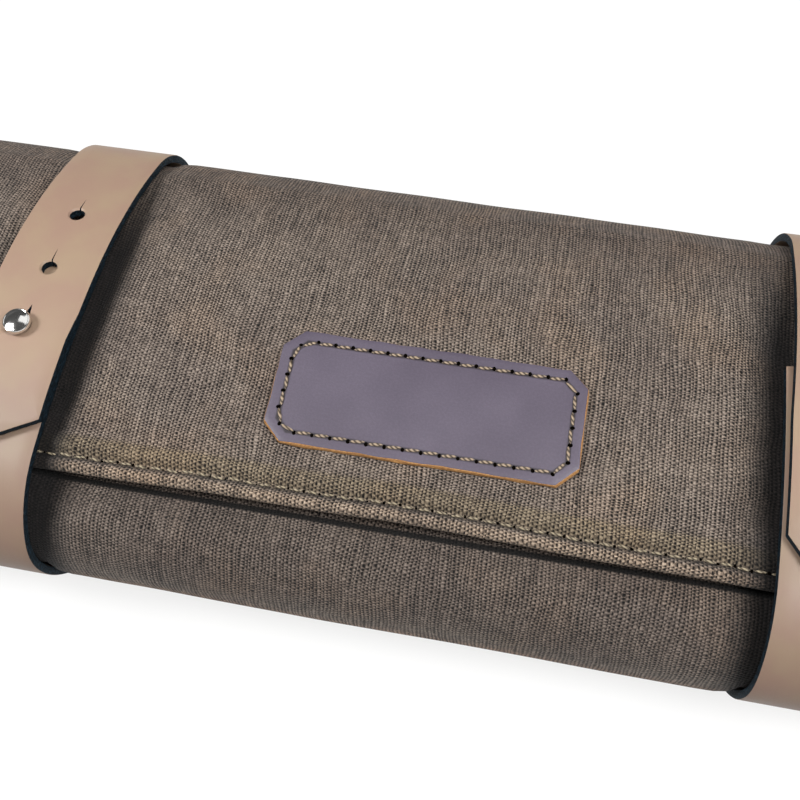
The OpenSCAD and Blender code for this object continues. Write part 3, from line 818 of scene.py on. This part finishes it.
fold_a = 37
tongue_s = angle_place(over, fold_a)
back_s = angle_place(girth, fold_a)
stud_angle = 90 + math.degrees(stud_s / crown_r)
stud_over_s = angle_place(over, stud_angle)
tip = 37.9
for side, word in ((-1, "left"), (1, "right")):
    middle = side * strap_x
    if side > 0:
        skew = lambda s: float(np.interp(s, (-120, -95, -62, -42, 7, 40), (0, 0.3, 2.6, 3.1, 0.7, 0.5)))
        punched = (stud_over_s, stud_over_s - 15.4, stud_over_s - 30.8)
    else:
        skew = lambda s: float(np.interp(s, (-120, -62, -40, 8, 14), (0, 0.9, 0.95, 0.9, 0.3)))
        punched = (stud_over_s, -1.7, -16.9)
    w = strap_half

    band = strap("strap_front_" + word, [(-w, under_s + 4), (w, under_s + 4), (w, -7.5), (-w, -4.8)][::-1], girth,
                 places(-4, (30, 2), (50, 1), (92, 1), (under_s - 1, 3)),
                 lambda s: strap_gap - heel_sink(under_s - s), middle,
                 square=[under_s], holes=[(stud_s, 2.2, 0.4)])
    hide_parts("stud_end_" + word, "strap_band_" + word)
    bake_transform(band)

    back = strap("strap_riveted_" + word,
                 [(-w, -under_s - 4), (w, -under_s - 4), (w, back_s + 4), (-w, back_s + 4)], girth,
                 places(-under_s + 1, (-95, 3), (-76, 1.5), (back_s - 0.5, 0.9)), lambda s: strap_gap,
                 middle, skew, square=[-under_s])
    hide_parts("strap_back_" + word)
    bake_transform(back)

    tongue = strap("tongue_strap_" + word,
                   [(-w, tongue_s), (w, tongue_s), (w, tip - 7), (6.8 - w, tip), (-w, tip - 8.2)], over,
                   places(tongue_s + 1, (-28, 0.9), (30, 2), (tip - 1, 1.5)), lambda s: 0.0, middle, skew,
                   holes=[(at, 5.0, 0.3) if i else (at, 4.9, 1.6) for i, at in enumerate(punched)])
    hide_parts("tongue_" + word)
    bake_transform(tongue)


# Studs and rivets: turned and pressed nickel. A flat-headed screw comes up through each stud end
# into its stud, and capped rivets hold the straps to the back and to the flap.
def nickel_finish():
    f = Finish("nickel", Metallic=1.0)
    place = f.on_object()
    rubbed = f.speckle(f.scaled(place, (0.5, 2.4, 1)), 0.5, 3, 0.6)
    dents = f.speckle(place, 2.4, 1, 0.5)
    f.set(Base_Color=f.blend(rubbed, (0.7, 0.69, 0.67), (0.86, 0.85, 0.83)), Roughness=0.05 + rubbed * 0.14,
          Normal=f.raised(dents * 0.95 + rubbed * 0.05, 0.2, 0.5))
    return f


nickel = nickel_finish()


def turned(name, profile, stand):
    """Turned part from its half profile of (radius, height) in mm, stood in place."""
    bm = bmesh.new()
    points = [bm.verts.new((r * mm, 0, z * mm)) for r, z in profile]
    edges = [bm.edges.new(pair) for pair in zip(points, points[1:])]
    bmesh.ops.spin(bm, geom=points + edges, axis=(0, 0, 1), cent=(0, 0, 0), dvec=(0, 0, 0),
                   angle=2 * math.pi, steps=40, use_merge=True)
    bmesh.ops.remove_doubles(bm, verts=bm.verts[:], dist=1e-7)
    bmesh.ops.recalc_face_normals(bm, faces=bm.faces[:])
    bm.transform(stand)
    obj = piece(name, bm, nickel, crease=35)
    return obj


stud_profile = [(0, -3.3), (1.3, -3.3), (1.3, -0.2), (1.5, -0.08), (2.1, -0.02), (2.5, 0.15),
                (2.74, 0.5), (2.78, 1.0), (2.74, 1.3), (2.62, 1.5), (2.46, 1.56), (2.36, 1.52),
                (2.2, 1.56), (1.8, 1.74), (1.2, 1.9), (0.6, 1.97), (0, 2.0)]
screw_profile = [(0, 0), (3.0, 0), (3.2, 0.15), (3.2, 0.55), (3.05, 0.7), (0.75, 0.7), (0.75, 4.3), (0, 4.3)]
low, cap = -wall_t - 0.55, strap_gap + strap_t
rivet_profile = [(0, low - 0.75), (1.7, low - 0.65), (2.9, low - 0.4), (3.3, low - 0.1), (3.3, low), (1.2, low),
                 (1.2, cap), (3.3, cap), (3.3, cap + 0.12), (3.1, cap + 0.38), (2.5, cap + 0.6),
                 (1.5, cap + 0.75), (0, cap + 0.8)]
for side, word in ((-1, "left"), (1, "right")):
    x = side * strap_x
    stud = turned("stud_head_" + word, stud_profile, girth.stand(x, stud_s, 4.5))
    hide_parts("stud_" + word)
    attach(stud, word + "_stud_end")
    screw = turned("screw_" + word, screw_profile, girth.stand(x, stud_s, 0.3))
    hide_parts("stud_screw_" + word)
    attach(screw, word + "_stud_end")
    for angle, body, node in ((rivet_a, "roll", "rivet_"), (flap_rivet_a, "flap", "flap_rivet_")):
        rivet = turned("capped_" + node + word, rivet_profile, girth.stand(x, angle_place(girth, angle), 0))
        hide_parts(node + word)
        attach(rivet, body)


# Label: a blank patch of waxy purple-brown leather with clipped corners and raw tan edges, laid on
# the flap and saddle-stitched round with waxed thread.
def patch_finish():
    f = Finish("patch_leather_face", Specular_IOR_Level=0.5)
    place = f.on_cut()
    cloud = f.speckle(place, 15, 2, 0.5)
    fine = f.speckle(place, 0.5, 3, 0.7)
    scuff = f.speckle(f.scaled(place, (1, 2.2, 1)), 1.6, 4, 0.75)
    tone = f.blend(cloud.between(0.3, 0.7), (0.072, 0.058, 0.083), (0.09, 0.074, 0.103))
    tone = f.blend(scuff.between(0.62, 0.8) * 0.4, tone, (0.15, 0.125, 0.16))
    tone = f.tint(tone, fine.between(0.35, 0.6) * 0.4, (0.7, 0.7, 0.7))
    x, s = (way + 1.3 for way in f.across_and_along(place))
    dx, ds = patch_half_l - 2.5 - abs(x - patch_x), patch_half_w - 2.5 - abs(s - patch_s)
    seam = dx.low(ds).low((dx + ds - 2.33) * 0.707)
    # Painted shade: a dark line along the stitched furrow.
    tone = f.tint(tone, 1 - abs(seam).between(0.2, 0.65), (0.25, 0.22, 0.2))
    f.set(Base_Color=tone, Roughness=0.4 + fine * 0.15 + scuff.between(0.55, 0.8) * 0.15,
          Normal=f.raised(fine * 0.7 + cloud * 0.3, 0.14, 0.45))
    return f


def raw_edge_finish():
    f = Finish("patch_leather_edge", Roughness=0.7)
    place = f.on_cut()
    fibre = f.speckle(place, 0.5, 3, 0.7)
    f.set(Base_Color=f.blend(fibre.between(0.35, 0.7), (0.3, 0.13, 0.04), (0.62, 0.34, 0.12)),
          Normal=f.raised(fibre, 0.2, 0.6))
    return f


def clipped(l, w, c):
    """Corners of an oblong, l by w from its middle, with c clipped off each corner."""
    return [(l, w - c), (l - c, w), (c - l, w), (-l, w - c), (-l, c - w), (c - l, -w), (l - c, -w), (l, c - w)]


clip = 3.8
pl, pw = patch_half_l, patch_half_w
bm = one_face([(patch_x + x, patch_s + s, 0.12) for x, s in clipped(pl, pw, clip)])
for v in extruded(bm):
    x, s = v.co.x - patch_x, v.co.y - patch_s
    v.co = (patch_x + x * (1 - 0.12 / pl) - 0.08, patch_s + s * (1 - 0.15 / pw) - 0.12, 1.32)
bmesh.ops.recalc_face_normals(bm, faces=bm.faces[:])
round_edges(bm, bm.edges[:], 0.18, 2)
score(bm, 1, places(patch_s - 11, (patch_s + 11, 2)))
score(bm, 0, places(patch_x - 29, (patch_x + 29, 2)))
for face in bm.faces:
    face.material_index = 1 if abs(face.normal.z) < 0.8 else 0
mark_cut(bm)


def seam_sink(x, s):
    """Depth of the patch's stitched furrow, 1 on the seam."""
    dx, ds = pl - 2.5 - abs(x - patch_x), pw - 2.5 - abs(s - patch_s)
    return bell(min(dx, ds, (dx + ds - (clip - 2.5 * 0.586)) / math.sqrt(2)), 0, 1.3)


for v in bm.verts:
    x, s = v.co.x, v.co.y
    if v.co.z > 1:
        v.co.z -= 0.15 * seam_sink(x, s) - 0.08 * noise.noise(Vector((x / 9, s / 7, 31)))
    rim = ease(max(abs(x - patch_x) / pl, abs(s - patch_s) / pw), 0.93, 0.99)
    v.co.x += rim * 0.2 * noise.noise(Vector((s / 4, x / 4, v.co.z)))
    v.co.y += rim * 0.25 * noise.noise(Vector((x / 5, 7, v.co.z)))
wrap(bm, girth)
patch = piece("patch", bm, patch_finish(), raw_edge_finish())
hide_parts("label_patch")
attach(patch, "flap")


# Stitching: waxed linen thread, sunk at both ends of every stitch into its needle hole, round the
# patch, along the flap's hem and along the front wall's hem.
def thread_finish(name, dark, light):
    f = Finish(name, Roughness=0.6, Specular_IOR_Level=0.4)
    place = f.on_object()
    twist = f.node("ShaderNodeTexWave", {"bands_direction": "DIAGONAL"},
                   {"Vector": place, "Scale": 0.55, "Distortion": 1.5})
    f.set(Base_Color=f.blend(twist, dark, light), Normal=f.raised(twist, 0.1, 0.6))
    return f


# Painted shade: each needle hole is a near-black, non-reflecting blob standing in for the shaded inside of the hole.
hole_shade = Finish("needle_hole_shade", Roughness=1.0, Specular_IOR_Level=0.0, Base_Color=(0.002, 0.0015, 0.001, 1))


def stitches(name, stands, length, thick, finish, hole=0.5):
    """A row of stitches: each a slim spindle along its stand's X, with a near-black blob at its end as the painted
    shade of its needle hole.
    """
    one = bmesh.new()
    for shape, at, index in (((length / 2, thick / 2, thick * 0.42), (0, 0, 0.1), 0),
                             ((hole * 0.8, hole, 0.12), (length / 2 + 0.25, 0, 0), 1)):
        place = Matrix.Translation(Vector(at) * mm) @ Matrix.Diagonal((*(c * mm for c in shape), 1))
        made = bmesh.ops.create_uvsphere(one, u_segments=8, v_segments=6, radius=1, matrix=place)
        for face in {f for v in made["verts"] for f in v.link_faces}:
            face.material_index = index
    stitch = bpy.data.meshes.new("one_stitch")
    one.to_mesh(stitch)
    row = bmesh.new()
    for stand in stands:
        stitch.transform(stand)
        row.from_mesh(stitch)
        stitch.transform(stand.inverted())
    return piece(name, row, finish, hole_shade, crease=80)


def walk(points, pitch):
    """Places and headings along a closed run of straight seams, one stitch apart."""
    ring = np.array(points + points[:1])
    run = np.concatenate([[0], np.cumsum(np.hypot(*np.diff(ring, axis=0).T))])
    n = round(run[-1] / pitch)
    for i in range(n):
        a, b = ([float(np.interp(t * run[-1] / n, run, ring[:, way])) for way in (0, 1)]
                for t in (i + 0.1, i + 0.9))
        yield (a[0] + b[0]) / 2, (a[1] + b[1]) / 2, math.atan2(b[1] - a[1], b[0] - a[0])


seam = clipped(pl - 2.5, pw - 2.5, clip - 2.5 * 0.586)
stands = [girth.stand(patch_x + x, patch_s + s, 1.22) @ Matrix.Rotation(-heading + 0.12, 4, "Z")
          for x, s, heading in walk(seam, 3.48)]
patch_thread = thread_finish("patch_thread", (0.035, 0.024, 0.015), (0.34, 0.26, 0.18))
label_seam = stitches("patch_stitches", stands, 3.0, 0.66, patch_thread, hole=0.52)
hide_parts("label_stitching")
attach(label_seam, "flap")

hem_thread = thread_finish("hem_thread", (0.07, 0.055, 0.035), (0.3, 0.25, 0.17))
rows, stitch_s, hand = [], hem_s - stitch_inset, random.Random(4)
for i in range(91):
    x = (i - 45) * 3.04
    s = stitch_s + hem_drift(x, stitch_s) + hand.uniform(-0.12, 0.12)
    stand = girth.stand(x, s, flap_lift(x, stitch_s) + hand.uniform(0.02, 0.2))
    rows.append(stand @ Matrix.Rotation(hand.uniform(-0.13, 0.13), 4, "Z"))
hem_seam = stitches("hem_stitches", rows, 2.4, 0.5, hem_thread, hole=0.34)
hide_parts("hem_stitching")
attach(hem_seam, "flap")

rows = [front.stand(x, lip_s - 3, front_lift(x, lip_s - 3) + 0.02) for x in (3.5 * (i - 39) for i in range(79))]
lip_seam = stitches("lip_stitches", rows, 2.5, 0.5, hem_thread, hole=0.4)
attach(lip_seam, "roll")


# Table, light and camera: a plain white sweep, a big soft window to the upper left, and the
# photograph's viewpoint.
table = Finish("white_table", Roughness=0.8, Base_Color=(0.16, 0.16, 0.16, 1), Specular_IOR_Level=0.0,
               Emission_Color=(1, 1, 0.995, 1), Emission_Strength=0.79)
bm = bmesh.new()
bmesh.ops.create_grid(bm, x_segments=1, y_segments=1, size=20)
floor = piece("floor", bm, table)

bpy.context.scene.view_settings.view_transform = "Standard"
world = bpy.data.worlds.new("studio")
bpy.context.scene.world = world
world.use_nodes = True
sky = world.node_tree.nodes.new("ShaderNodeTexCoord")
height = world.node_tree.nodes.new("ShaderNodeSeparateXYZ")
level = world.node_tree.nodes.new("ShaderNodeMapRange")
for key, value in {"From Min": 0.0, "From Max": 0.4, "To Min": 0.26, "To Max": 0.08}.items():
    level.inputs[key].default_value = value
world.node_tree.links.new(sky.outputs["Generated"], height.inputs[0])
world.node_tree.links.new(height.outputs["Z"], level.inputs["Value"])
world.node_tree.links.new(level.outputs[0], world.node_tree.nodes["Background"].inputs["Strength"])
world.node_tree.nodes["Background"].inputs["Color"].default_value = (1, 1, 1, 1)


def window(name, at, size, power):
    light = bpy.data.lights.new(name, "AREA")
    light.shape, light.size, light.size_y, light.energy = "RECTANGLE", size[0], size[1], power
    obj = bpy.data.objects.new(name, light)
    obj.location = at
    obj.rotation_euler = (Vector((0, 0, 0.02)) - Vector(at)).to_track_quat("-Z", "Y").to_euler()
    bpy.context.scene.collection.objects.link(obj)


window("left_window", (-0.5, -0.1, 0.58), (0.18, 0.24), 5.5)
window("right_window", (0.44, -0.2, 0.7), (0.3, 0.5), 8.4)
window("top_window", (0.0, 0.3, 0.75), (0.6, 0.4), 0.8)

lens = bpy.data.cameras.new("camera")
lens.sensor_fit, lens.sensor_width, lens.lens = "HORIZONTAL", 36, 45.24
lens.clip_start, lens.clip_end = 0.01, 20
camera = bpy.data.objects.new("camera", lens)
right, up = Vector((0.9817519, 0.18856108, -0.02465627)), Vector((-0.1506749, 0.85040981, 0.50408355))
turn = Matrix((right, up, right.cross(up))).transposed().to_4x4()
camera.matrix_world = Matrix.Translation((0.02007, -0.10854, 0.21522)) @ turn
bpy.context.scene.collection.objects.link(camera)
bpy.context.scene.camera = camera
